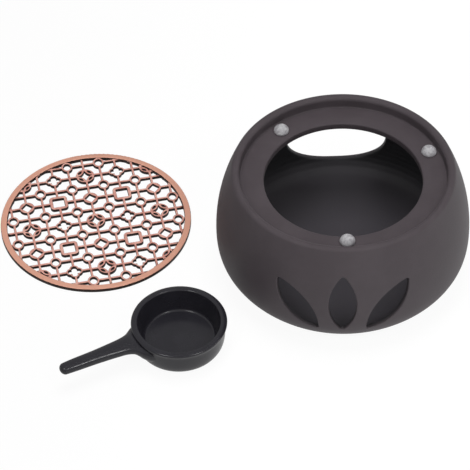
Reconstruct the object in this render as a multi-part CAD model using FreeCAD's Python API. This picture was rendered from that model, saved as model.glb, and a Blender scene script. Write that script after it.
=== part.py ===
import FreeCAD, Part
import math
import os

# A teapot warmer laid out as its three loose things: a clay body with three clear
# rest pads on its ledge, a cast lattice plate that the pads carry in use, and a small
# candle dish with a handle. Millimetres, Z up, origin at the middle of the body's base.

# Clay body, turned about Z
body_height = 74.4
foot_radius = 59.7
foot_rounding = 1.2
foot_lean = 45.0            # degrees that the wall leaves the foot away from upright
foot_pull = 17.0            # how far the wall runs on before it turns up to the belly
belly_pull = 12.5
belly_radius = 74.1
belly_height = 28.5
shoulder_bend = 110.0       # radius of the long curve from the belly to the lip
lip_radius = 2.6
wall = 3.0
floor_thickness = 5.0
floor_inset = 14.2          # from the foot's edge in to the edge of the flat floor
floor_pull = 19.0
floor_rise = 18.0
floor_break = 1.2           # how far the wall's curve aims above the floor where they meet

# Ledge inside the lip, with the mouth through it
recess_depth = 7.2          # from the lip's crest down to the ledge
ledge_width = 14.2
ledge_thickness = 5.3
ledge_rounding = 1.3
recess_rounding = 0.8
shoulder_rounding = 2.5

# Big opening in the back of the body, for the dish and its handle
back_turn = 90.8
back_width = 59.6
back_sill = 15.6
back_headroom = 4.6         # from the opening's top up to the ledge's underside
back_squareness = 2.3       # 2 is an ellipse, more is squarer
back_points = 32

# Three leaf-shaped vents in the front, fanned from one level
vent_count = 3
vent_turn = -92.6
vent_width = 16.0
vent_tip_rounding = 1.6
vent_foot_height = 18.4
vent_headroom = 4.0         # from the upright vent's tip up to the ledge's underside
vent_foot_spread = 14.8     # along the belly, from one vent's foot to the next
vent_lean = 38.0            # degrees between a vent and the next one

# Rest pads, stuck to the ledge by hand: how far in from the recess wall, and which way round
pad_radius = 4.5
pad_height = 4.3
pad_side = 0.8
pad_places = {"front": (9.2, -90.0), "right": (5.4, 21.3), "left": (6.5, 130.3)}

# Lattice plate
plate_place = (-146.8, 35.1)
plate_turn = 10.8
plate_clearance = 2.4       # between the plate and the recess that takes it
plate_thickness = 2.4
plate_rounding = 0.7
rim_width = 3.9
grille_drop = 0.4           # from the rim's top down to the top of the grille
grid = 9.76                 # from one bar to the next
bar_width = 1.3
ring_width = 6.9
ring_length = 8.0
ring_wall = 1.25
coin_radius = 5.65
coin_wall = 0.9
star_reach = 4.35
star_waist = 2.2
slot_reach = 4.5
slot_spread = 23.0          # degrees from the slot's middle to its tip
slot_width = 1.4
diamond_ring_radius = 4.55
diamond_reach = 3.65
square_side = 10.8
square_corner = 2.4
square_wall = 1.9
square_hole_corner = 0.4
flower_offset = 2.2         # from the middle of a flower to the middle of a petal
flower_petal = 1.7
flower_wall = 1.0

# Candle dish
dish_place = (-96.5, -63.3)
dish_height = 18.6
dish_rim_radius = 27.7
dish_rim_thickness = 4.0
dish_rim_drop = 1.3         # from the top of the rim to its widest place
dish_crest_inset = 2.5      # from the widest place in to the top of the rim
dish_rim_depth = 3.9        # from the top of the rim to the waist under it
dish_rim_overhang = 1.2     # how far the rim stands out past the waist
dish_foot_inset = 5.6       # from the waist in to the foot's edge
dish_foot_rounding = 0.9
dish_floor_inset = 7.3      # from the waist in to the edge of the floor
dish_floor_thickness = 4.8
dish_inner_rounding = 2.0
handle_turn = 205.8
handle_drop = 3.6           # from the top of the rim to the handle's middle
handle_tip_rounding = 1.8
# Sections along the handle: how far out from the dish's waist, the width, the thickness,
# and how far the section sinks below the handle's middle
handle_sections = ((-4.0, 29.0, 12.4, 4.4), (0.9, 22.6, 10.2, 3.2), (3.8, 15.9, 7.9, 1.2), (8.0, 12.6, 6.9, 0.5),
                   (13.0, 11.1, 6.6, 0.35), (26.2, 9.1, 6.5, 0.2), (39.8, 8.3, 6.0, 0))
handle_tip = (48.5, 7.1, 5.6, 0)
handle_degree = 3           # of the curves from section to section, so that they don't swing

up = FreeCAD.Vector(0, 0, 1)
middle = FreeCAD.Vector(0, 0, 0)


def on_section(radius, height):
    """A point of a turned section, which lies in the XZ plane."""
    return FreeCAD.Vector(radius, 0, height)


def line(start, end):
    return Part.makeLine(start, end)


def arc(start, through, end):
    return Part.Arc(start, through, end).toShape()


def bezier(*poles):
    curve = Part.BezierCurve()
    curve.setPoles(list(poles))
    return curve.toShape()


def turned(edges):
    return Part.Face(Part.Wire(edges)).revolve(middle, up, 360)


def circle_edges(solid, radius, height):
    """The solid's edges that run round Z at one radius and height."""
    found = []
    for edge in solid.Edges:
        box = edge.BoundBox
        level = abs(box.ZMax - height) + abs(box.ZMin - height)
        reach = abs(max(box.XMax, box.YMax, -box.XMin, -box.YMin) - radius)
        if level < 0.02 and reach < 0.02:
            found.append(edge)
    return found


def shoulder_point(offset, angle):
    """A point of the long shoulder curve, or of its copy that lies offset further in."""
    radius = shoulder_bend - offset
    turn = math.radians(angle)
    return on_section(belly_radius - shoulder_bend + radius * math.cos(turn),
                      belly_height + radius * math.sin(turn))


def lip_centre():
    """The lip's middle, where its round touches both the crest and the shoulder curve."""
    rise = body_height - lip_radius - belly_height
    run = math.sqrt((shoulder_bend - lip_radius) ** 2 - rise ** 2)
    return on_section(belly_radius - shoulder_bend + run, belly_height + rise)


def ledge_top():
    return body_height - recess_depth


def ledge_bottom():
    return ledge_top() - ledge_thickness


def recess_radius():
    return lip_centre().x - lip_radius


def make_body_shell():
    lip = lip_centre()
    lip_turn = math.degrees(math.asin((lip.z - belly_height) / (shoulder_bend - lip_radius)))
    shelf_bottom = ledge_bottom()
    ledge_height = ledge_top()
    inner_turn = math.degrees(math.asin((shelf_bottom - belly_height) / (shoulder_bend - wall)))
    lean = math.radians(foot_lean)

    foot = on_section(foot_radius, 0)
    belly = on_section(belly_radius, belly_height)
    inner_belly = on_section(belly_radius - wall, belly_height)
    floor_edge = on_section(foot_radius - floor_inset, floor_thickness)
    recess_top = on_section(recess_radius(), lip.z)
    recess_corner = on_section(recess_radius(), ledge_height)
    mouth_radius = recess_radius() - ledge_width
    mouth_top = on_section(mouth_radius, ledge_height)
    mouth_bottom = on_section(mouth_radius, shelf_bottom)

    edges = [
        line(middle, foot),
        bezier(foot, foot + on_section(foot_pull * math.sin(lean), foot_pull * math.cos(lean)),
               belly - on_section(0, belly_pull), belly),
        arc(belly, shoulder_point(0, lip_turn / 2), shoulder_point(0, lip_turn)),
        arc(shoulder_point(0, lip_turn), on_section(lip.x, body_height), recess_top),
        line(recess_top, recess_corner),
        line(recess_corner, mouth_top),
        line(mouth_top, mouth_bottom),
        line(mouth_bottom, shoulder_point(wall, inner_turn)),
        arc(shoulder_point(wall, inner_turn), shoulder_point(wall, inner_turn / 2), inner_belly),
        bezier(inner_belly, inner_belly - on_section(0, floor_rise),
               floor_edge + on_section(floor_pull, floor_break), floor_edge),
        line(floor_edge, on_section(0, floor_thickness)),
        line(on_section(0, floor_thickness), middle),
    ]
    shell = turned(edges)
    inner_corner = shoulder_point(wall, inner_turn)
    shell = shell.makeFillet(foot_rounding, circle_edges(shell, foot.x, 0))
    shell = shell.makeFillet(shoulder_rounding, circle_edges(shell, inner_corner.x, inner_corner.z))
    shell = shell.makeFillet(recess_rounding, circle_edges(shell, recess_corner.x, ledge_height))
    mouth_edges = circle_edges(shell, mouth_radius, ledge_height) + circle_edges(shell, mouth_radius, shelf_bottom)
    return shell.makeFillet(ledge_rounding, mouth_edges)


def make_back_cutter():
    """A squarish oval, pushed outward through the wall."""
    back_height = ledge_bottom() - back_headroom - back_sill
    centre_height = back_sill + back_height / 2
    power = 2 / back_squareness
    points = []
    for step in range(back_points):
        turn = 2 * math.pi * step / back_points
        across = math.copysign(abs(math.cos(turn)) ** power, math.cos(turn))
        rise = math.copysign(abs(math.sin(turn)) ** power, math.sin(turn))
        points.append(FreeCAD.Vector(0, back_width / 2 * across, centre_height + back_height / 2 * rise))
    curve = Part.BSplineCurve()
    curve.interpolate(Points=points, PeriodicFlag=True)
    outline = Part.Face(Part.Wire(curve.toShape()))
    outline.translate(on_section(belly_radius / 2, 0))
    cutter = outline.extrude(on_section(belly_radius, 0))
    cutter.rotate(middle, up, back_turn)
    return cutter


def make_leaf(half_width, half_length, tip):
    """A leaf in the YZ plane: two long arcs, and a small round of radius tip at each end."""
    tip_centre = half_length - tip
    bend = (tip_centre ** 2 + half_width ** 2 - tip ** 2) / (2 * (half_width - tip))
    centre = bend - half_width
    end_turn = math.atan2(tip_centre, centre)
    across = bend * math.cos(end_turn) - centre
    rise = bend * math.sin(end_turn)
    corners = [FreeCAD.Vector(0, across * right, rise * top) for right, top in ((1, -1), (1, 1), (-1, 1), (-1, -1))]
    return Part.Face(Part.Wire([
        arc(corners[0], FreeCAD.Vector(0, half_width, 0), corners[1]),
        arc(corners[1], FreeCAD.Vector(0, 0, half_length), corners[2]),
        arc(corners[2], FreeCAD.Vector(0, -half_width, 0), corners[3]),
        arc(corners[3], FreeCAD.Vector(0, 0, -half_length), corners[0]),
    ]))


def make_vent_cutter(number):
    """A leaf, turned about its foot and pushed outward through the wall."""
    side = number - (vent_count - 1) / 2
    half_length = (ledge_bottom() - vent_headroom - vent_foot_height) / 2
    leaf = make_leaf(vent_width / 2, half_length, vent_tip_rounding)
    lean = math.radians(vent_lean * side)
    leaf.rotate(middle, FreeCAD.Vector(1, 0, 0), -vent_lean * side)
    centre_height = vent_foot_height + half_length * math.cos(lean)
    along = vent_foot_spread * side + half_length * math.sin(lean)
    leaf.translate(on_section(belly_radius / 2, centre_height))
    cutter = leaf.extrude(on_section(belly_radius, 0))
    cutter.rotate(middle, up, vent_turn + math.degrees(along / belly_radius))
    return cutter


def make_body():
    body = make_body_shell()
    body = body.cut(make_back_cutter())
    for number in range(vent_count):
        body = body.cut(make_vent_cutter(number))
    return body


def make_pad(inset, turn):
    side_top = on_section(pad_radius, pad_side)
    crown = on_section(0, pad_height)
    rise = pad_height - pad_side
    bend = (pad_radius ** 2 + rise ** 2) / (2 * rise)
    half = math.asin(min(1, pad_radius / bend)) / 2
    through = on_section(bend * math.sin(half), pad_height - bend + bend * math.cos(half))
    pad = turned([line(middle, on_section(pad_radius, 0)), line(on_section(pad_radius, 0), side_top),
                  arc(side_top, through, crown), line(crown, middle)])
    angle = math.radians(turn)
    distance = recess_radius() - inset
    pad.translate(FreeCAD.Vector(distance * math.cos(angle), distance * math.sin(angle), ledge_top()))
    return pad


def flat_face(edges):
    return Part.Face(Part.Wire(edges))


def polar(radius, angle):
    turn = math.radians(angle)
    return FreeCAD.Vector(radius * math.cos(turn), radius * math.sin(turn), 0)


def disc(radius):
    return flat_face([Part.makeCircle(radius)])


def oval(width, length):
    long_way = FreeCAD.Vector(0, length / 2, 0)
    short_way = FreeCAD.Vector(width / 2, 0, 0)
    return flat_face([Part.Ellipse(long_way, short_way, middle).toShape()])


def rounded_square(side, corner):
    half = side / 2
    square = Part.makePlane(side, side, FreeCAD.Vector(-half, -half, 0))
    edges = square.OuterWire.OrderedEdges
    block = square.extrude(up)
    upright = [edge for edge in block.Edges if edge.BoundBox.ZLength > 0.5]
    block = block.makeFillet(corner, upright)
    return [face for face in block.Faces if face.BoundBox.ZMax < 0.01][0]


def ring_holes():
    return [oval(ring_width - 2 * ring_wall, ring_length - 2 * ring_wall)]


def coin_holes():
    """A four-pointed star, and a slot behind each of its hollow sides."""
    star = []
    slots = []
    slot_outer = coin_radius - coin_wall
    for quarter in range(4):
        start = 90 * quarter
        diagonal = start + 45
        star.append(arc(polar(star_reach, start), polar(star_waist, diagonal), polar(star_reach, start + 90)))
        first = polar(slot_reach, diagonal - slot_spread)
        last = polar(slot_reach, diagonal + slot_spread)
        slots.append(flat_face([arc(first, polar(slot_outer, diagonal), last),
                                arc(last, polar(slot_outer - slot_width, diagonal), first)]))
    return [flat_face(star)] + slots


def diamond_holes():
    corners = [polar(diamond_reach, 90 * step) for step in range(5)]
    return [flat_face([line(corners[step], corners[step + 1]) for step in range(4)])]


def flower(petal):
    """Four overlapping petals as one outline of arcs, each ending on a diagonal."""
    reach = math.sqrt(2) / 2 * flower_offset
    waist = reach + math.sqrt(petal ** 2 - reach ** 2)
    edges = []
    for quarter in range(4):
        start = 90 * quarter
        edges.append(arc(polar(waist, start - 45), polar(flower_offset + petal, start), polar(waist, start + 45)))
    return flat_face(edges)


def square_holes():
    return [rounded_square(square_side - 2 * square_wall, square_hole_corner)]


def motif_at(column, row):
    """The outline and the holes of what stands on a crossing of the grid, or nothing."""
    if column % 2 and row % 2:
        return oval(ring_width, ring_length), ring_holes()
    if column % 2 or row % 2:
        return None, []
    odd_column = (column // 2) % 2
    odd_row = (row // 2) % 2
    if odd_column and odd_row:
        return rounded_square(square_side, square_corner), square_holes()
    if odd_column:
        return flower(flower_petal + flower_wall), [flower(flower_petal)]
    if odd_row:
        return disc(diamond_ring_radius), diamond_holes()
    return disc(coin_radius), coin_holes()


def make_grille(inner_radius):
    """Bars and motifs, as one flat solid that runs on into the middle of the rim."""
    reach = inner_radius + rim_width / 2
    last_line = int((inner_radius - bar_width) / grid)
    solid_parts = []
    holes = []
    for index in range(-last_line, last_line + 1):
        place = index * grid
        half = math.sqrt(reach ** 2 - place ** 2)
        solid_parts.append(Part.makePlane(bar_width, 2 * half, FreeCAD.Vector(place - bar_width / 2, -half, 0)))
        solid_parts.append(Part.makePlane(2 * half, bar_width, FreeCAD.Vector(-half, place - bar_width / 2, 0)))
    for column in range(-last_line, last_line + 1):
        for row in range(-last_line, last_line + 1):
            place = FreeCAD.Vector(column * grid, row * grid, 0)
            outline, openings = motif_at(column, row)
            if outline is None or place.Length > reach + coin_radius:
                continue
            outline.translate(place)
            solid_parts.append(outline)
            for opening in openings:
                opening.translate(place)
                holes.append(opening)
    flat = solid_parts[0].multiFuse(solid_parts[1:])
    flat = flat.cut(Part.Compound(holes))
    flat = flat.common(disc(reach)).removeSplitter()
    return flat.extrude(FreeCAD.Vector(0, 0, plate_thickness - grille_drop))


def make_plate():
    plate_radius = recess_radius() - plate_clearance
    inner_radius = plate_radius - rim_width
    corner = plate_rounding * (1 - math.sqrt(0.5))
    outer_low = on_section(plate_radius, 0)
    outer_high = on_section(plate_radius, plate_thickness - plate_rounding)
    top_outer = on_section(plate_radius - plate_rounding, plate_thickness)
    top_inner = on_section(inner_radius + plate_rounding, plate_thickness)
    inner_high = on_section(inner_radius, plate_thickness - plate_rounding)
    inner_low = on_section(inner_radius, 0)
    rim = turned([
        line(inner_low, outer_low),
        line(outer_low, outer_high),
        arc(outer_high, on_section(plate_radius - corner, plate_thickness - corner), top_outer),
        line(top_outer, top_inner),
        arc(top_inner, on_section(inner_radius + corner, plate_thickness - corner), inner_high),
        line(inner_high, inner_low),
    ])
    plate = rim.fuse(make_grille(inner_radius)).removeSplitter()
    plate.rotate(middle, up, plate_turn)
    plate.translate(FreeCAD.Vector(plate_place[0], plate_place[1], 0))
    return plate


def make_dish_shape(outside):
    """The dish's full outside, or the hollow inside it."""
    waist_radius = dish_rim_radius - dish_rim_overhang
    widest = on_section(dish_rim_radius, dish_height - dish_rim_drop)
    crest = on_section(dish_rim_radius - dish_crest_inset, dish_height)
    if outside:
        foot = on_section(waist_radius - dish_foot_inset, 0)
        waist = on_section(waist_radius, dish_height - dish_rim_depth)
        bulge = on_section(0, waist.z / 2)
        flare = on_section(0, (dish_rim_depth - dish_rim_drop) / 2)
        edges = [line(middle, foot),
                 bezier(foot, foot + on_section(dish_foot_inset, dish_foot_rounding), waist - bulge, waist),
                 bezier(waist, waist + flare, widest - flare, widest),
                 bezier(widest, widest + on_section(0, dish_rim_drop), crest),
                 line(crest, on_section(0, dish_height)),
                 line(on_section(0, dish_height), middle)]
        return turned(edges)
    inner_edge = on_section(dish_rim_radius - dish_rim_thickness, dish_height - dish_rim_drop)
    floor_edge = on_section(waist_radius - dish_floor_inset, dish_floor_thickness)
    edges = [line(on_section(0, dish_floor_thickness), floor_edge),
             bezier(floor_edge, floor_edge + on_section(dish_inner_rounding, 0),
                    floor_edge + on_section(dish_inner_rounding, dish_inner_rounding),
                    inner_edge),
             bezier(inner_edge, inner_edge + on_section(0, dish_rim_drop), crest),
             line(crest, on_section(0, dish_height)),
             line(on_section(0, dish_height), on_section(0, dish_floor_thickness))]
    return turned(edges)


def handle_section(distance, width, thickness, sink):
    centre = on_section(distance, -sink)
    across = centre + FreeCAD.Vector(0, width / 2, 0)
    tall = centre + on_section(0, thickness / 2)
    return Part.Wire(Part.Ellipse(across, tall, centre).toShape())


def make_handle():
    """A tapering bar along X, flared where it grows out of the dish."""
    waist_radius = dish_rim_radius - dish_rim_overhang
    sections = []
    for distance, width, thickness, sink in handle_sections + (handle_tip,):
        sections.append(handle_section(waist_radius + distance, width, thickness, sink))
    bar = Part.makeLoft(sections, True, False, False, handle_degree)
    tip_reach = waist_radius + handle_tip[0]
    tip_edges = [edge for edge in bar.Edges if edge.BoundBox.XMin > tip_reach - 0.01]
    bar = bar.makeFillet(handle_tip_rounding, tip_edges)
    bar.translate(on_section(0, dish_height - handle_drop))
    bar.rotate(middle, up, handle_turn)
    return bar


def make_dish():
    dish = make_dish_shape(True).fuse(make_handle())
    dish = dish.cut(make_dish_shape(False)).removeSplitter()
    dish.translate(FreeCAD.Vector(dish_place[0], dish_place[1], 0))
    return dish


def save(name, shape):
    solids = shape.Solids
    print(name, "solids", len(solids), "valid", shape.isValid(), "volume", round(shape.Volume, 1))
    piece = solids[0] if len(solids) == 1 else shape
    piece.exportStep("parts/" + name + ".step")


os.makedirs("parts", exist_ok=True)
save("warmer_body", make_body())
for pad_name, (pad_distance, pad_turn) in pad_places.items():
    save("rest_pad_" + pad_name, make_pad(pad_distance, pad_turn))
save("lattice_plate", make_plate())
save("candle_dish", make_dish())
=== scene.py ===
import bisect
import math

import bmesh
import bpy
from mathutils import Matrix, Vector
from mathutils.geometry import interpolate_bezier


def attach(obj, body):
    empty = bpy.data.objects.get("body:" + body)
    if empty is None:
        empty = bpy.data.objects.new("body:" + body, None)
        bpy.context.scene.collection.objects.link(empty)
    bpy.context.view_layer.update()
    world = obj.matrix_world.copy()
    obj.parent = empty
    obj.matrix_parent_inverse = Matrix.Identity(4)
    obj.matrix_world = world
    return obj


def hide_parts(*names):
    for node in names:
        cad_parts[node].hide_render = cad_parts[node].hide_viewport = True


# A teapot warmer laid out as its loose things: a matt clay body with three clear rest pads,
# an antique copper lattice plate and a glazed candle dish.
# Pieces are modelled in millimetres and scaled to metres when they are finished.

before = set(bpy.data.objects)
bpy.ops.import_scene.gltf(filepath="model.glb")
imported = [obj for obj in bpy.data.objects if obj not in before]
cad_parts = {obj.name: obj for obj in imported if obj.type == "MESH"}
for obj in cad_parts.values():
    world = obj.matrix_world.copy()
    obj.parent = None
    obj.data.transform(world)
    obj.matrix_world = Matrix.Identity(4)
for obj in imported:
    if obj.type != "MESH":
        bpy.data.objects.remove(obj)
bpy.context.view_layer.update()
toMetres = 0.001
noiseMiddle = 0.5
inLine = 0.001      # millimetres, closer than this counts as in line


class Signal:
    # a socket of a material, so that sums on it are written as sums
    def __init__(self, shader, socket):
        self.shader = shader
        self.socket = socket

    def maths(self, operation, left, right=0.0, clamp=False):
        settings = {"operation": operation, "use_clamp": clamp}
        return self.shader.node("ShaderNodeMath", settings, {0: left, 1: right})

    def __add__(self, other):
        return self.maths("ADD", self, other)

    def __radd__(self, other):
        return self.maths("ADD", other, self)

    def __sub__(self, other):
        return self.maths("SUBTRACT", self, other)

    def __rsub__(self, other):
        return self.maths("SUBTRACT", other, self)

    def __mul__(self, other):
        return self.maths("MULTIPLY", self, other)

    def __rmul__(self, other):
        return self.maths("MULTIPLY", other, self)

    def sine(self):
        return self.maths("SINE", self)

    def swing(self, amount):
        # a noise's ups and downs about its middle
        return (self - noiseMiddle) * amount

    def smooth(self, low, high):
        # 0 below low, 1 above high
        settings = {"interpolation_type": "SMOOTHSTEP"}
        return self.shader.node("ShaderNodeMapRange", settings, {0: self, 1: low, 2: high})


class Shader:
    # one material, or the world, and its node tree
    def __init__(self, name, store=bpy.data.materials, output="ShaderNodeOutputMaterial"):
        self.material = store.new(name)
        self.material.use_nodes = True
        self.tree = self.material.node_tree
        self.tree.nodes.clear()
        self.output = self.tree.nodes.new(output)

    def node(self, kind, settings=None, values=None, output=0):
        made = self.tree.nodes.new(kind)
        for key, value in (settings or {}).items():
            setattr(made, key, value)
        for key, value in (values or {}).items():
            if isinstance(value, Signal):
                self.tree.links.new(value.socket, made.inputs[key])
            else:
                made.inputs[key].default_value = value
        return Signal(self, made.outputs[output])

    def place(self):
        return self.node("ShaderNodeTexCoord", output="Object")

    def axis(self, vector, name):
        return self.node("ShaderNodeSeparateXYZ", values={0: vector}, output=name)

    def noise(self, vector, scale, detail, roughness):
        values = {"Vector": vector, "Scale": scale, "Detail": detail, "Roughness": roughness}
        return self.node("ShaderNodeTexNoise", values=values)

    def mix(self, share, first, second):
        # colours, so that nothing turns grey
        values = {0: share, 6: first, 7: second}
        return self.node("ShaderNodeMix", {"data_type": "RGBA"}, values, output=2)

    def bump(self, height, distance, strength=1.0, below=None):
        values = {"Height": height, "Distance": distance, "Strength": strength}
        if below:
            values["Normal"] = below
        return self.node("ShaderNodeBump", values=values)

    def surface(self, values):
        shaded = self.node("ShaderNodeBsdfPrincipled", values=values)
        return self.finish(shaded)

    def finish(self, shaded):
        self.tree.links.new(shaded.socket, self.output.inputs["Surface"])
        return self.material


def colour(red, green, blue):
    # a screen colour from 0 to 255 as the linear colour a shader takes
    def linear(value):
        value = value / 255
        return value / 12.92 if value <= 0.04045 else ((value + 0.055) / 1.055) ** 2.4
    return (linear(red), linear(green), linear(blue), 1.0)


clayFinish = {
    "outside": (80, 73, 77),
    "outsideDark": (75, 68, 72),
    "inside": (51, 51, 53),
    "insideFloorLit": (69, 66, 71),
    "floorFade": (0.006, 0.022),    # heights between which the floor's colour, painted paler for the light that falls in through the mouth, fades into the wall's
    "roughness": 0.55,
    "gloss": 0.4,
    "mottle": (45, 4.0, 0.6),       # scale, detail and roughness of a noise
    "mottleFade": (0.35, 0.7),      # where in that noise the dark clay turns to the pale
    "mottleSwing": 0.12,            # of the roughness
    "grain": (1500, 3.0, 0.6),
    "grainSwing": 0.08,
    "grainDepth": 0.00006,
    "ringScale": 1900,              # the rings that throwing left on the inner wall
    "ringWander": 3,                # how far the mottling bends them
    "ringDepth": 0.00005,
}


def makeClay():
    shader = Shader("matt_clay")
    place = shader.place()
    mottle = shader.noise(place, *clayFinish["mottle"])
    grain = shader.noise(place, *clayFinish["grain"])
    inside = shader.node("ShaderNodeAttribute", {"attribute_name": "inside"}, output="Fac")
    outer = shader.mix(mottle.smooth(*clayFinish["mottleFade"]),
                       colour(*clayFinish["outsideDark"]), colour(*clayFinish["outside"]))
    height = shader.axis(place, "Z")
    # the inner floor is painted paler than the inner wall: painted light from the mouth
    inner = shader.mix(height.smooth(*clayFinish["floorFade"]),
                       colour(*clayFinish["insideFloorLit"]), colour(*clayFinish["inside"]))
    rough = clayFinish["roughness"] + mottle.swing(clayFinish["mottleSwing"])
    rings = height * clayFinish["ringScale"] + mottle * clayFinish["ringWander"]
    grained = shader.bump(grain, clayFinish["grainDepth"])
    return shader.surface({
        "Base Color": shader.mix(inside, outer, inner),
        "Roughness": rough + grain.swing(clayFinish["grainSwing"]),
        "Specular IOR Level": clayFinish["gloss"],
        "Normal": shader.bump(rings.sine() * inside, clayFinish["ringDepth"], below=grained),
    })


glazeFinish = {
    "body": (35, 34, 40),
    "thin": (40, 39, 45),
    "roughness": 0.24,
    "gloss": 0.5,
    "coat": 0.25,
    "coatRoughness": 0.16,
    "cloud": (90, 3.0, 0.55),       # scale, detail and roughness of a noise
    "cloudFade": (0.4, 0.75),
    "cloudSwing": 0.1,
    "speck": (900, 2.0, 0.5),
    "speckHeight": 0.3,             # where the cloud's is 1
    "bumpDepth": 0.0001,
    "bumpStrength": 0.5,
}


def makeGlaze():
    shader = Shader("dark_glaze")
    place = shader.place()
    cloud = shader.noise(place, *glazeFinish["cloud"])
    speck = shader.noise(place, *glazeFinish["speck"])
    base = shader.mix(cloud.smooth(*glazeFinish["cloudFade"]),
                      colour(*glazeFinish["body"]), colour(*glazeFinish["thin"]))
    bumps = speck * glazeFinish["speckHeight"] + cloud
    return shader.surface({
        "Base Color": base,
        "Roughness": glazeFinish["roughness"] + cloud.swing(glazeFinish["cloudSwing"]),
        "Specular IOR Level": glazeFinish["gloss"],
        "Coat Weight": glazeFinish["coat"],
        "Coat Roughness": glazeFinish["coatRoughness"],
        "Normal": shader.bump(bumps, glazeFinish["bumpDepth"], glazeFinish["bumpStrength"]),
    })


copperFinish = {
    "bright": (255, 200, 184),
    "rosy": (228, 160, 146),
    "rim": (244, 182, 158),
    # dark: patina in the hollows, and painted shade on the walls and bevelled edges of the bars
    "dark": (46, 30, 26),
    "metallic": 0.3,
    "rimRadius": 0.0535,            # from the plate's middle to where the rim begins
    "rimFade": 0.0005,
    "polish": (0.84, 0.98),         # how far up a face looks before the dark patina and painted shade give way to bright copper
    "rimPolish": 0.3,               # how much sooner that is on the rim
    "wear": (220, 4.0, 0.6),        # scale, detail and roughness of a noise
    "wearFade": (0.35, 0.7),
    "wearSwing": 0.12,
    "roughness": 0.42,
    "polishSmooths": 0.04,
    "gloss": 0.2,
    "fine": (1800, 2.0, 0.5),
    "fineSwing": 0.12,
    "fineDepth": 0.00003,
    "fineStrength": 0.6,
}


def makeCopper():
    shader = Shader("antique_copper")
    place = shader.place()
    facing = shader.node("ShaderNodeNewGeometry", output="Normal")
    wear = shader.noise(place, *copperFinish["wear"])
    fine = shader.noise(place, *copperFinish["fine"])
    fromMiddle = shader.node("ShaderNodeVectorMath", {"operation": "SUBTRACT"},
                             {0: place, 1: plate["middle"]})
    flat = shader.node("ShaderNodeVectorMath", {"operation": "MULTIPLY"},
                       {0: fromMiddle, 1: (1, 1, 0)})
    reach = shader.node("ShaderNodeVectorMath", {"operation": "LENGTH"}, {0: flat}, output="Value")
    rimStart = copperFinish["rimRadius"]
    rim = reach.smooth(rimStart, rimStart + copperFinish["rimFade"])
    # faces that look up are bright copper and the walls and bevels dark: partly patina, partly
    # painted shade
    rubbedAndFacingUp = shader.axis(facing, "Z") + rim * copperFinish["rimPolish"]
    polishedAndLit = (rubbedAndFacingUp + wear.swing(copperFinish["wearSwing"])).smooth(*copperFinish["polish"])
    bars = shader.mix(wear.smooth(*copperFinish["wearFade"]),
                      colour(*copperFinish["rosy"]), colour(*copperFinish["bright"]))
    copper = shader.mix(rim, bars, colour(*copperFinish["rim"]))
    rough = copperFinish["roughness"] + fine.swing(copperFinish["fineSwing"])
    return shader.surface({
        "Base Color": shader.mix(polishedAndLit, colour(*copperFinish["dark"]), copper),
        "Metallic": polishedAndLit * copperFinish["metallic"],
        "Specular IOR Level": copperFinish["gloss"],
        "Roughness": rough - polishedAndLit * copperFinish["polishSmooths"],
        "Normal": shader.bump(fine, copperFinish["fineDepth"], copperFinish["fineStrength"]),
    })


padFinish = {
    "clear": (240, 239, 242),
    "cloudy": (196, 193, 198),
    "roughness": 0.3,
    "transmission": 0.4,
    "bending": 1.42,                # how strongly light bends on its way in
    "cloud": (500, 3.0, 0.6),       # scale, detail and roughness of a noise
    "cloudFade": (0.35, 0.65),
    "bumpDepth": 0.0004,
    "bumpStrength": 0.6,
}


def makeClearPad():
    shader = Shader("clear_pad")
    place = shader.place()
    cloud = shader.noise(place, *padFinish["cloud"])
    base = shader.mix(cloud.smooth(*padFinish["cloudFade"]),
                      colour(*padFinish["cloudy"]), colour(*padFinish["clear"]))
    return shader.surface({
        "Base Color": base,
        "Roughness": padFinish["roughness"],
        "Transmission Weight": padFinish["transmission"],
        "IOR": padFinish["bending"],
        "Normal": shader.bump(cloud, padFinish["bumpDepth"], padFinish["bumpStrength"]),
    })


def bezierRun(start, pullStart, pullEnd, end, count):
    knots = [Vector((radius, 0, height)) for radius, height in (start, pullStart, pullEnd, end)]
    return [(point.x, point.z) for point in interpolate_bezier(*knots, count)]


def arcRun(centre, radius, first, last, count):
    # angles in degrees from the way outwards, turning up
    points = []
    for step in range(count):
        turn = math.radians(first + (last - first) * step / (count - 1))
        points.append((centre[0] + radius * math.cos(turn), centre[1] + radius * math.sin(turn)))
    return points


def cornerRun(before, corner, after, radius, count):
    # the fillet between two straight runs that meet at a corner
    tip = Vector(corner)
    back = (Vector(before) - tip).normalized()
    on = (Vector(after) - tip).normalized()
    half = back.angle(on) / 2
    centre = tip + (back + on).normalized() * (radius / math.sin(half))
    start = tip + back * (radius / math.tan(half)) - centre
    end = tip + on * (radius / math.tan(half)) - centre
    points = []
    for step in range(count):
        way = start.slerp(end, step / (count - 1))
        points.append(tuple(centre + way))
    return points


def vertsOf(geom):
    return [item for item in geom if isinstance(item, bmesh.types.BMVert)]


def edgesOf(geom):
    return [item for item in geom if isinstance(item, bmesh.types.BMEdge)]


def spinRun(bm, points, steps):
    made = [bm.verts.new((radius, 0, height)) for radius, height in points]
    edges = [bm.edges.new(pair) for pair in zip(made, made[1:])]
    bmesh.ops.spin(bm, geom=made + edges, axis=(0, 0, 1), cent=(0, 0, 0),
                   angle=2 * math.pi, steps=steps, use_merge=True)


def roundOver(bm, edges, radius, segments):
    bmesh.ops.bevel(bm, geom=edges, offset=radius, offset_type="OFFSET", affect="EDGES",
                    segments=segments, profile=0.5, material=-1, loop_slide=False)


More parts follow.
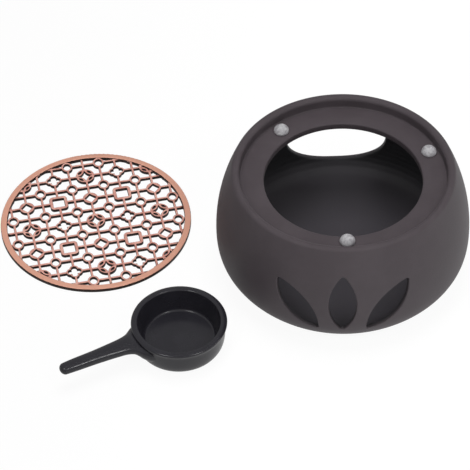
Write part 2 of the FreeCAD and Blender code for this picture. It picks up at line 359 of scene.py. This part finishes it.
def finishPiece(name, bm, material, nodes, weld=0.002):
    bmesh.ops.remove_doubles(bm, verts=bm.verts[:], dist=weld)
    bmesh.ops.recalc_face_normals(bm, faces=bm.faces[:])
    bmesh.ops.scale(bm, vec=(toMetres,) * 3, verts=bm.verts[:])
    for face in bm.faces:
        face.smooth = True
        face.material_index = 0
    mesh = bpy.data.meshes.new(name)
    bm.to_mesh(mesh)
    bm.free()
    piece = bpy.data.objects.new(name, mesh)
    bpy.context.scene.collection.objects.link(piece)
    mesh.materials.append(material)
    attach(piece, "root")
    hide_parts(*nodes)
    print(name, "faces", len(mesh.polygons))


body = {
    "height": 74.4, "footRadius": 59.7, "footRounding": 1.2, "footLean": 45.0, "footPull": 17.0,
    "bellyRadius": 74.1, "bellyHeight": 28.5, "bellyPull": 12.5, "shoulderBend": 110.0,
    "lipRadius": 2.6, "wall": 3.0, "floor": 5.0, "floorRadius": 45.5, "floorPull": 19.0,
    "floorRise": 18.0, "floorBreak": 1.2,
    "ledgeTop": 67.2, "ledgeBottom": 61.9, "ledgeWidth": 14.2, "ledgeRounding": 1.3,
    "recessRounding": 0.8, "shoulderRounding": 2.3,
    "underRings": (0, 20, 40, 55), "floorRings": (0, 15, 30, 40), "ledgeRings": (3, -3),
    # the belt of wall that holds the openings is made of even cells
    "columns": 240, "rows": 34, "beltLow": 12.0, "beltHigh": 59.4, "beltGap": 0.3,
    "ventWidth": 16.0, "ventLength": 39.5, "ventTip": 1.6, "ventFoot": 18.4, "ventSpread": 14.8,
    "ventLean": 38.0, "ventTurn": -92.6, "ventRounding": 0.7,
    "backWidth": 59.6, "backLow": 15.6, "backHigh": 57.3, "backSquareness": 2.3, "backTurn": 90.8,
    "backRounding": 0.8, "collar": 1.3,
    # points on each curve of the wall, which of them are used, and how far up its arc goes
    "wallPoints": 200, "wallStride": 9, "wallArc": (0.1, 24),
    "weld": 0.004,
}
shoulderCentre = (body["bellyRadius"] - body["shoulderBend"], body["bellyHeight"])
innerBend = body["shoulderBend"] - body["wall"]
innerBelly = body["bellyRadius"] - body["wall"]


def wallRuns():
    # the outer and the inner wall from the foot up to the shoulder, as (radius, height)
    lean = math.radians(body["footLean"])
    foot = (body["footRadius"], 0)
    pull = (foot[0] + body["footPull"] * math.sin(lean), body["footPull"] * math.cos(lean))
    belly = (body["bellyRadius"], body["bellyHeight"])
    count = body["wallPoints"]
    outer = bezierRun(foot, pull, (belly[0], belly[1] - body["bellyPull"]), belly, count)
    outer += arcRun(shoulderCentre, body["shoulderBend"], *body["wallArc"], count)
    floorEdge = (body["floorRadius"], body["floor"])
    pull = (floorEdge[0] + body["floorPull"], floorEdge[1] + body["floorBreak"])
    inner = bezierRun(floorEdge, pull, (innerBelly, belly[1] - body["floorRise"]),
                      (innerBelly, belly[1]), count)
    inner += arcRun(shoulderCentre, innerBend, *body["wallArc"], count)
    return outer, inner


outerRun, innerRun = wallRuns()
outerHeights = [point[1] for point in outerRun]
innerHeights = [point[1] for point in innerRun]


def radiusAt(run, heights, height):
    place = min(max(bisect.bisect_left(heights, height), 1), len(run) - 1)
    (lowRadius, low), (highRadius, high) = run[place - 1], run[place]
    return lowRadius + (highRadius - lowRadius) * (height - low) / (high - low)


def wallRadius(depth, height):
    # depth 0 is the outer face and depth wall the inner one
    outer = radiusAt(outerRun, outerHeights, height)
    inner = radiusAt(innerRun, innerHeights, height)
    return outer + (inner - outer) * depth / body["wall"]


def leafOutline(bm):
    # two long arcs with a small round at each end, upright about the origin
    half, wide, tip = body["ventLength"] / 2, body["ventWidth"] / 2, body["ventTip"]
    tipHeight = half - tip
    bend = (tipHeight ** 2 + wide ** 2 - tip ** 2) / (2 * (wide - tip))
    offset = bend - wide
    endTurn = math.atan2(tipHeight, offset)
    for side in (1, -1):
        across = (bend * math.cos(endTurn) - offset) * side
        low = bm.verts.new((across, 0, -bend * math.sin(endTurn) * side))
        high = bm.verts.new((low.co.x, 0, -low.co.z))
        bmesh.ops.spin(bm, geom=[low], axis=(0, -1, 0), cent=(-offset * side, 0, 0),
                       angle=2 * endTurn, steps=20, use_merge=False)
        bmesh.ops.spin(bm, geom=[high], axis=(0, -1, 0), cent=(0, 0, tipHeight * side),
                       angle=math.pi - 2 * endTurn, steps=6, use_merge=False)
    bmesh.ops.remove_doubles(bm, verts=bm.verts[:], dist=0.01)
    return half + body["collar"], wide + body["collar"]


def archOutline(bm):
    # a squarish oval about the origin
    half = (body["backHigh"] - body["backLow"]) / 2
    upright = Matrix.Rotation(math.pi / 2, 4, "X")
    bmesh.ops.create_circle(bm, segments=96, radius=1, matrix=upright)
    power = 2 / body["backSquareness"]
    for vert in bm.verts:
        vert.co.x = math.copysign(abs(vert.co.x) ** power, vert.co.x) * body["backWidth"] / 2
        vert.co.z = math.copysign(abs(vert.co.z) ** power, vert.co.z) * half
    return half + body["collar"], body["backWidth"] / 2 + body["collar"]


def addOpening(sheet, outline, lean, height, turn, rounding):
    # the reveal of one opening, with a collar round it on each face, laid on the unrolled wall:
    # X is the way round at the belly's radius, Y the depth into the wall, Z the height
    bm = bmesh.new()
    tall, wide = outline(bm)
    rim = bm.edges[:]
    grown = Matrix.Diagonal((wide / (wide - body["collar"]), 1, tall / (tall - body["collar"]), 1))
    collar = bmesh.ops.extrude_edge_only(bm, edges=rim)["geom"]
    bmesh.ops.transform(bm, matrix=grown, verts=vertsOf(collar))
    reveal = bmesh.ops.extrude_edge_only(bm, edges=rim)["geom"]
    innerRim = edgesOf(reveal)
    bmesh.ops.translate(bm, vec=(0, body["wall"], 0), verts=vertsOf(reveal))
    collar = bmesh.ops.extrude_edge_only(bm, edges=innerRim)["geom"]
    bmesh.ops.transform(bm, matrix=grown, verts=vertsOf(collar))
    roundOver(bm, rim + innerRim, rounding, segments=4)
    bmesh.ops.rotate(bm, matrix=Matrix.Rotation(lean, 3, "Y"), verts=bm.verts[:])
    bmesh.ops.translate(bm, vec=(0, 0, height), verts=bm.verts[:])
    for vert in bm.verts:
        swing = math.asin(vert.co.x / wallRadius(vert.co.y, vert.co.z))
        vert.co.x = (turn + swing) * body["bellyRadius"]
    part = bpy.data.meshes.new("opening")
    bm.to_mesh(part)
    bm.free()
    sheet.from_mesh(part)
    bpy.data.meshes.remove(part)


def addWall(sheet):
    # both faces of the belt that holds the openings, cut into even cells, then rolled up
    half = math.pi * body["bellyRadius"]
    low, high = body["beltLow"], body["beltHigh"]
    loops = [edge for edge in sheet.edges if edge.is_boundary]
    for depth in (0, body["wall"]):
        corners = [sheet.verts.new((x, depth, z))
                   for x, z in ((-half, low), (half, low), (half, high), (-half, high))]
        border = [sheet.edges.new(pair) for pair in zip(corners, corners[1:] + corners[:1])]
        border += [edge for edge in loops
                   if all(abs(vert.co.y - depth) < inLine for vert in edge.verts)]
        filled = bmesh.ops.triangle_fill(sheet, edges=border, use_beauty=True, normal=(0, 1, 0))
        for face in filled["geom"]:
            if isinstance(face, bmesh.types.BMFace):
                face.material_index = 1
    for step in range(1, body["columns"]):
        cutAcross(sheet, (half * (2 * step / body["columns"] - 1), 0, 0), (1, 0, 0))
    for step in range(1, body["rows"]):
        cutAcross(sheet, (0, 0, low + (high - low) * step / body["rows"]), (0, 0, 1))
    # the slanted edges that the fill left in the cells go
    stray = []
    for edge in sheet.edges:
        run = edge.verts[1].co - edge.verts[0].co
        slanted = abs(run.x) > inLine and abs(run.z) > inLine
        inBelt = len(edge.link_faces) == 2 and all(face.material_index for face in edge.link_faces)
        if slanted and inBelt:
            stray.append(edge)
    bmesh.ops.dissolve_edges(sheet, edges=stray, use_verts=True)
    for vert in sheet.verts:
        turn = vert.co.x / body["bellyRadius"]
        radius = wallRadius(vert.co.y, vert.co.z)
        vert.co = (radius * math.cos(turn), radius * math.sin(turn), vert.co.z)


def cutAcross(sheet, place, way):
    geom = sheet.verts[:] + sheet.edges[:] + sheet.faces[:]
    bmesh.ops.bisect_plane(sheet, geom=geom, dist=1e-4, plane_co=place, plane_no=way)


def turnedRuns():
    # what is turned below and above the belt
    low, high = body["beltLow"], body["beltHigh"]
    lean = math.radians(body["footLean"])
    foot = (body["footRadius"], 0)
    rise = body["height"] - body["lipRadius"] - body["bellyHeight"]
    run = math.sqrt((body["shoulderBend"] - body["lipRadius"]) ** 2 - rise ** 2)
    lip = (shoulderCentre[0] + run, body["bellyHeight"] + rise)
    lipTurn = math.degrees(math.atan2(rise, run))
    recess = lip[0] - body["lipRadius"]
    mouth = recess - body["ledgeWidth"]
    top, bottom = body["ledgeTop"], body["ledgeBottom"]
    innerTurn = math.degrees(math.asin((bottom - body["bellyHeight"]) / innerBend))
    shoulder = (shoulderCentre[0] + innerBend * math.cos(math.radians(innerTurn)), bottom)

    below = [(radius, 0) for radius in body["underRings"]]
    wayUp = (foot[0] + math.sin(lean), math.cos(lean))
    below += cornerRun((0, 0), foot, wayUp, body["footRounding"], count=5)
    footTop = below[-1][1] + 0.5
    below += [point for point in outerRun[::body["wallStride"]]
              if footTop < point[1] < low - body["beltGap"]]
    below.append((wallRadius(0, low), low))

    floorRun = [(radius, body["floor"]) for radius in body["floorRings"]]
    floorRun += [point for point in innerRun[::body["wallStride"]]
                 if point[1] < low - body["beltGap"]]
    floorRun.append((wallRadius(body["wall"], low), low))

    outTurn = math.degrees(math.asin((high - body["bellyHeight"]) / body["shoulderBend"]))
    inTurn = math.degrees(math.asin((high - body["bellyHeight"]) / innerBend))
    above = arcRun(shoulderCentre, body["shoulderBend"], outTurn, lipTurn, count=8)
    above += arcRun(lip, body["lipRadius"], lipTurn, 180, count=15)[1:]
    above += cornerRun((recess, lip[1]), (recess, top), (mouth, top),
                       body["recessRounding"], count=5)
    above += [((recess + mouth) / 2 + ring, top) for ring in body["ledgeRings"]]
    above += cornerRun((recess, top), (mouth, top), (mouth, bottom),
                       body["ledgeRounding"], count=6)
    above += cornerRun((mouth, top), (mouth, bottom), (recess, bottom),
                       body["ledgeRounding"], count=6)
    above += [((mouth + shoulder[0]) / 2, bottom)]
    inner = arcRun(shoulderCentre, innerBend, innerTurn, inTurn, count=2)[1]
    above += cornerRun((mouth, bottom), shoulder, inner, body["shoulderRounding"], count=6)
    above += [(wallRadius(body["wall"], high), high)]
    return below, floorRun, above


def makeBody(material):
    sheet = bmesh.new()
    half = body["ventLength"] / 2
    for side in (-1, 0, 1):
        lean = math.radians(body["ventLean"] * side)
        along = body["ventSpread"] * side + half * math.sin(lean)
        turn = math.radians(body["ventTurn"]) + along / body["bellyRadius"]
        height = body["ventFoot"] + half * math.cos(lean)
        addOpening(sheet, leafOutline, lean, height, turn, body["ventRounding"])
    middle = (body["backLow"] + body["backHigh"]) / 2
    addOpening(sheet, archOutline, 0, middle, math.radians(body["backTurn"]), body["backRounding"])
    addWall(sheet)
    for run in turnedRuns():
        spinRun(sheet, run, body["columns"])
    bmesh.ops.remove_doubles(sheet, verts=sheet.verts[:], dist=body["weld"])
    # slivers that the cuts can leave open beside a collar are closed
    gaps = [edge for edge in sheet.edges if edge.is_boundary]
    bmesh.ops.holes_fill(sheet, edges=gaps, sides=4)
    # the clay reads how far each point lies towards the inner face
    inside = sheet.verts.layers.float.new("inside")
    for vert in sheet.verts:
        if body["floor"] - 0.1 < vert.co.z < body["ledgeBottom"] + 0.1:
            depth = radiusAt(outerRun, outerHeights, vert.co.z) - math.hypot(vert.co.x, vert.co.y)
            vert[inside] = min(max(depth / body["wall"], 0), 1)
    finishPiece("clay_body", sheet, material, ["warmer_body"], body["weld"])


plate = {
    "middle": (-0.1468, 0.0351, 0),     # in metres, for the copper
    "grilleTop": 2.0, "levelSlack": 0.005,
    "edgeRounding": 0.22,
    "flatAngle": 0.4,                   # degrees, below which faces are joined
    "wall": 0.3, "top": 0.9,            # how far up a wall looks at most, and a top at least
    "weld": 0.001,
}


def makePlate(material):
    bm = bmesh.new()
    bm.from_mesh(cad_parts["lattice_plate"].data)
    bmesh.ops.scale(bm, vec=(1 / toMetres,) * 3, verts=bm.verts[:])
    bmesh.ops.remove_doubles(bm, verts=bm.verts[:], dist=0.002)
    bmesh.ops.dissolve_limit(bm, angle_limit=math.radians(plate["flatAngle"]),
                             verts=bm.verts[:], edges=bm.edges[:])
    rims = []
    for edge in bm.edges:
        if len(edge.link_faces) != 2 or not edge.is_convex:
            continue
        if all(abs(vert.co.z - plate["grilleTop"]) < plate["levelSlack"] for vert in edge.verts):
            rises = sorted(face.normal.z for face in edge.link_faces)
            if rises[0] < plate["wall"] and rises[1] > plate["top"]:
                rims.append(edge)
    print("lattice edges", len(rims))
    roundOver(bm, rims, plate["edgeRounding"], segments=2)
    finishPiece("copper_lattice", bm, material, ["lattice_plate"], plate["weld"])


dish = {
    "place": (-96.5, -63.3), "height": 18.6, "rimRadius": 27.7, "rimThickness": 4.0, "rimDrop": 1.3,
    "crestInset": 2.5, "rimDepth": 3.9, "overhang": 1.2, "footInset": 5.6, "footRounding": 0.9,
    "floorInset": 7.3, "floorHeight": 4.8, "innerRounding": 2.0,
    "underRings": (0, 12, 20), "floorRings": (14, 7, 0), "steps": 160,
    "handleTurn": 205.8, "handleHeight": 15.0, "handleEnd": 2.8,
    # how far out from the dish's waist, width, thickness and sink of each section
    "handleSections": [(-1.0, 31.5, 12.6, 4.6), (0.9, 24.0, 10.4, 3.3),
                       (3.8, 15.8, 8.0, 1.2), (8.0, 12.3, 6.9, 0.5),
                       (13.0, 10.9, 6.6, 0.35), (26.2, 8.9, 6.4, 0.2),
                       (39.8, 8.1, 6.0, 0), (48.5, 7.0, 5.6, 0)],
    "handleStations": 64, "handleRing": 48, "handleSquareness": 2.2,
    "rootReach": 6.0,       # where the sections stop following the bowl's round
    "tipShare": 0.0004,     # the last ring's share of its size, squared, so that it isn't a point
}


def dishRun():
    waist = (dish["rimRadius"] - dish["overhang"], dish["height"] - dish["rimDepth"])
    foot = (waist[0] - dish["footInset"], 0)
    widest = (dish["rimRadius"], dish["height"] - dish["rimDrop"])
    crest = (dish["rimRadius"] - dish["crestInset"], dish["height"])
    innerEdge = (dish["rimRadius"] - dish["rimThickness"], widest[1])
    floorEdge = (waist[0] - dish["floorInset"], dish["floorHeight"])
    flare = (dish["rimDepth"] - dish["rimDrop"]) / 2
    rise = dish["rimDrop"] * 2 / 3
    crestPull = (crest[0] + (widest[0] - crest[0]) * 2 / 3, crest[1])
    innerPull = (crest[0] - (crest[0] - innerEdge[0]) * 2 / 3, crest[1])
    step = dish["innerRounding"]
    run = [(radius, 0) for radius in dish["underRings"]]
    run += bezierRun(foot, (foot[0] + dish["footInset"], dish["footRounding"]),
                     (waist[0], waist[1] / 2), waist, count=14)
    run += bezierRun(waist, (waist[0], waist[1] + flare),
                     (widest[0], widest[1] - flare), widest, count=8)[1:]
    run += bezierRun(widest, (widest[0], widest[1] + rise), crestPull, crest, count=9)[1:]
    run += bezierRun(crest, innerPull, (innerEdge[0], innerEdge[1] + rise), innerEdge, count=9)[1:]
    run += bezierRun(innerEdge, (floorEdge[0] + step, floorEdge[1] + step),
                     (floorEdge[0] + step, floorEdge[1]), floorEdge, count=16)[1:]
    return run + [(radius, dish["floorHeight"]) for radius in dish["floorRings"]]


def alongHandle(distance):
    # width, thickness and sink there, eased from one section to the next
    rows = dish["handleSections"]
    for index in range(len(rows) - 1):
        if distance <= rows[index + 1][0] or index == len(rows) - 2:
            break
    first, last = rows[index], rows[index + 1]
    before = rows[max(index - 1, 0)]
    after = rows[min(index + 2, len(rows) - 1)]
    share = (distance - first[0]) / (last[0] - first[0])
    sizes = []
    for column in (1, 2, 3):
        span = last[0] - first[0]
        rising = (last[column] - before[column]) / (last[0] - before[0]) * span
        leaving = (after[column] - first[column]) / (after[0] - first[0]) * span
        sizes.append((2 * share ** 3 - 3 * share ** 2 + 1) * first[column]
                     + (share ** 3 - 2 * share ** 2 + share) * rising
                     + (3 * share ** 2 - 2 * share ** 3) * last[column]
                     + (share ** 3 - share ** 2) * leaving)
    return sizes


def makeDish(material):
    bm = bmesh.new()
    spinRun(bm, dishRun(), dish["steps"])
    waist = dish["rimRadius"] - dish["overhang"]
    start, end = dish["handleSections"][0][0], dish["handleSections"][-1][0]
    ring = bmesh.ops.create_circle(bm, segments=dish["handleRing"], radius=0.5,
                                   matrix=Matrix.Rotation(math.pi / 2, 4, "Y"))["verts"]
    power = 2 / dish["handleSquareness"]
    for vert in ring:
        vert.co.y = math.copysign(abs(2 * vert.co.y) ** power, vert.co.y) / 2
        vert.co.z = math.copysign(abs(2 * vert.co.z) ** power, vert.co.z) / 2
    unit = [vert.co.copy() for vert in ring]
    edges = list({edge for vert in ring for edge in vert.link_edges})
    handle = list(ring)
    bmesh.ops.contextual_create(bm, geom=edges)
    for station in range(dish["handleStations"] + 1):
        share = math.sin(station / dish["handleStations"] * math.pi / 2)
        distance = start + (end - start) * share
        width, thickness, sink = alongHandle(distance)
        fade = max(1 - (distance - start) / dish["rootReach"], 0) ** 2
        rest = min((end - distance) / dish["handleEnd"], 1)
        shrink = math.sqrt(max(1 - (1 - rest) ** 2, dish["tipShare"]))
        if station:
            grown = bmesh.ops.extrude_edge_only(bm, edges=edges)["geom"]
            edges = edgesOf(grown)
            # a new point starts where the one that it grew from is
            twins = {}
            for vert in vertsOf(grown):
                near = min(range(len(ring)), key=lambda i: (ring[i].co - vert.co).length_squared)
                twins[near] = vert
            ring = [twins[i] for i in range(len(ring))]
            handle += ring
        for vert, shape in zip(ring, unit):
            across = shape.y * width * shrink
            bow = math.sqrt(waist ** 2 - across ** 2) - waist
            vert.co = (waist + distance + bow * fade, across, shape.z * thickness * shrink - sink)
    bmesh.ops.contextual_create(bm, geom=edges)
    bmesh.ops.translate(bm, vec=(0, 0, dish["handleHeight"]), verts=handle)
    turned = Matrix.Rotation(math.radians(dish["handleTurn"]), 3, "Z")
    bmesh.ops.rotate(bm, matrix=turned, verts=handle)
    bmesh.ops.translate(bm, vec=(*dish["place"], 0), verts=bm.verts[:])
    finishPiece("glazed_dish", bm, material, ["candle_dish"])


pads = {
    "radius": 4.5, "height": 4.3, "side": 0.8, "edge": 0.35, "ledge": 67.2, "recess": 59.785,
    "underRings": (0, 2.5), "steps": 48,
    # how far in from the recess, and degrees round from the right
    "places": {"front": (9.2, -90.0), "right": (5.4, 21.3), "left": (6.5, 130.3)},
}


def makePads(material):
    rise = pads["height"] - pads["side"]
    bend = (pads["radius"] ** 2 + rise ** 2) / (2 * rise)
    reach = math.degrees(math.asin(pads["radius"] / bend))
    for name, (inset, turn) in pads["places"].items():
        bm = bmesh.new()
        run = [(radius, 0) for radius in pads["underRings"]]
        run += [(pads["radius"] - pads["edge"], 0), (pads["radius"], pads["edge"])]
        run += arcRun((0, pads["height"] - bend), bend, 90 - reach, 90, count=14)
        spinRun(bm, run, pads["steps"])
        distance = pads["recess"] - inset
        angle = math.radians(turn)
        place = (distance * math.cos(angle), distance * math.sin(angle), pads["ledge"])
        bmesh.ops.translate(bm, vec=place, verts=bm.verts[:])
        finishPiece("pad_" + name, bm, material, ["rest_pad_" + name])


view = {
    "focal": 2666.2, "frame": 470, "elevation": 0.802183629, "roll": -0.0245903588,
    "target": (-63.20, 21.69), "distance": 1599.6, "sensor": 36, "clip": (0.1, 20),
}


def makeCamera():
    tilt = view["elevation"]
    forward = Vector((0, math.cos(tilt), -math.sin(tilt)))
    right = Vector((1, 0, 0))
    over = right.cross(forward)
    across = math.cos(view["roll"]) * right + math.sin(view["roll"]) * over
    upward = -math.sin(view["roll"]) * right + math.cos(view["roll"]) * over
    place = (Vector((*view["target"], 0)) - forward * view["distance"]) * toMetres
    data = bpy.data.cameras.new("camera")
    data.sensor_width = view["sensor"]
    data.lens = view["sensor"] * view["focal"] / view["frame"]
    data.clip_start, data.clip_end = view["clip"]
    camera = bpy.data.objects.new("camera", data)
    bpy.context.scene.collection.objects.link(camera)
    turned = Matrix((across, upward, -forward)).transposed().to_4x4()
    camera.matrix_world = Matrix.Translation(place) @ turned
    bpy.context.scene.camera = camera


light = {
    "world": (0.1, 0.28),       # from the left and from the right
    "sky": 0.36,                # how bright gloss and glass see the sky
    "floor": (0.34, 0.56),      # the floor's grey on the left and on the right, painted darker on the left as painted shade for its bounce
    "floorWhite": 1.16,
    "floorShown": 0.8,          # how much of that white the camera sees
    "floorGloss": (0.2, 0.75),  # and gloss and glass, on the left and on the right, painted darker on the left as painted shade in reflections
    "floorTurn": (-0.25, 0.15), # places along X between which the floor turns from one to the other
    "floorSize": 3,
    # name: (place, target, size, watts, whether gloss shows it)
    "lamps": {
        "left_box": ((-0.5, -0.55, 0.85), (-0.05, 0, 0.02), (0.2, 0.2), 1.2, True),
        "right_box": ((0.36, -0.55, 0.85), (-0.05, 0, 0.02), (0.2, 0.2), 1.2, True),
        "side_box": ((0.9, -0.1, 0.15), (0, 0, 0.03), (0.3, 0.2), 0.6, True),
        "top_box": ((-0.05, 0.1, 1.1), (-0.05, 0, 0), (0.6, 0.6), 6.8, False),
        "front_low": ((0.03, -0.38, 0.14), (0.02, 0, 0.03), (0.22, 0.12), 0.26, False),
    },
}


def cameraAndGloss(shader):
    # 1 for what the camera sees, and 1 for what gloss and glass see
    rays = shader.node("ShaderNodeLightPath")
    names = ("Is Camera Ray", "Is Glossy Ray", "Is Transmission Ray")
    camera, glossy, through = [Signal(shader, rays.socket.node.outputs[name]) for name in names]
    return camera, rays.maths("ADD", glossy, through, True)


def makeStudio():
    scene = bpy.context.scene
    scene.view_settings.view_transform = "Standard"
    around = Shader("studio", bpy.data.worlds, "ShaderNodeOutputWorld")
    way = around.node("ShaderNodeTexCoord", output="Generated")
    left, right = light["world"]
    level = left + around.axis(way, "X").smooth(-1, 1) * (right - left)
    camera, gloss = cameraAndGloss(around)
    seen = camera + gloss * light["sky"] + (1 - camera) * (1 - gloss) * level
    values = {"Color": (1, 1, 1, 1), "Strength": seen}
    around.finish(around.node("ShaderNodeBackground", values=values))
    scene.world = around.material

    shader = Shader("studio_floor")
    # the floor is painted darker towards the left: painted shade in its bounce light and in what
    # gloss sees of it
    turn = shader.axis(shader.place(), "X").smooth(*light["floorTurn"])
    dark, pale = [(grey, grey, grey, 1) for grey in light["floor"]]
    matt = shader.node("ShaderNodeBsdfDiffuse", values={"Color": shader.mix(turn, dark, pale)})
    values = {"Color": (1, 1, 1, 1), "Strength": light["floorWhite"]}
    lit = shader.node("ShaderNodeEmission", values=values)
    camera, gloss = cameraAndGloss(shader)
    left, right = light["floorGloss"]
    seen = camera * light["floorShown"] + gloss * (left + turn * (right - left))
    shader.finish(shader.node("ShaderNodeMixShader", values={0: seen, 1: matt, 2: lit}))
    bm = bmesh.new()
    bmesh.ops.create_grid(bm, x_segments=1, y_segments=1, size=light["floorSize"])
    mesh = bpy.data.meshes.new("floor")
    bm.to_mesh(mesh)
    bm.free()
    floor = bpy.data.objects.new("floor", mesh)
    scene.collection.objects.link(floor)
    mesh.materials.append(shader.material)

    for name, (place, target, size, watts, glossy) in light["lamps"].items():
        data = bpy.data.lights.new(name, "AREA")
        data.shape = "RECTANGLE"
        data.size, data.size_y = size
        data.energy = watts
        lamp = bpy.data.objects.new(name, data)
        scene.collection.objects.link(lamp)
        lamp.location = place
        lamp.visible_camera = False
        lamp.visible_glossy = glossy
        lamp.rotation_euler = (Vector(target) - Vector(place)).to_track_quat("-Z", "Y").to_euler()


makeCamera()
makeStudio()
print("studio ready")
makeBody(makeClay())
makePlate(makeCopper())
makeDish(makeGlaze())
makePads(makeClearPad())
print("pieces ready")
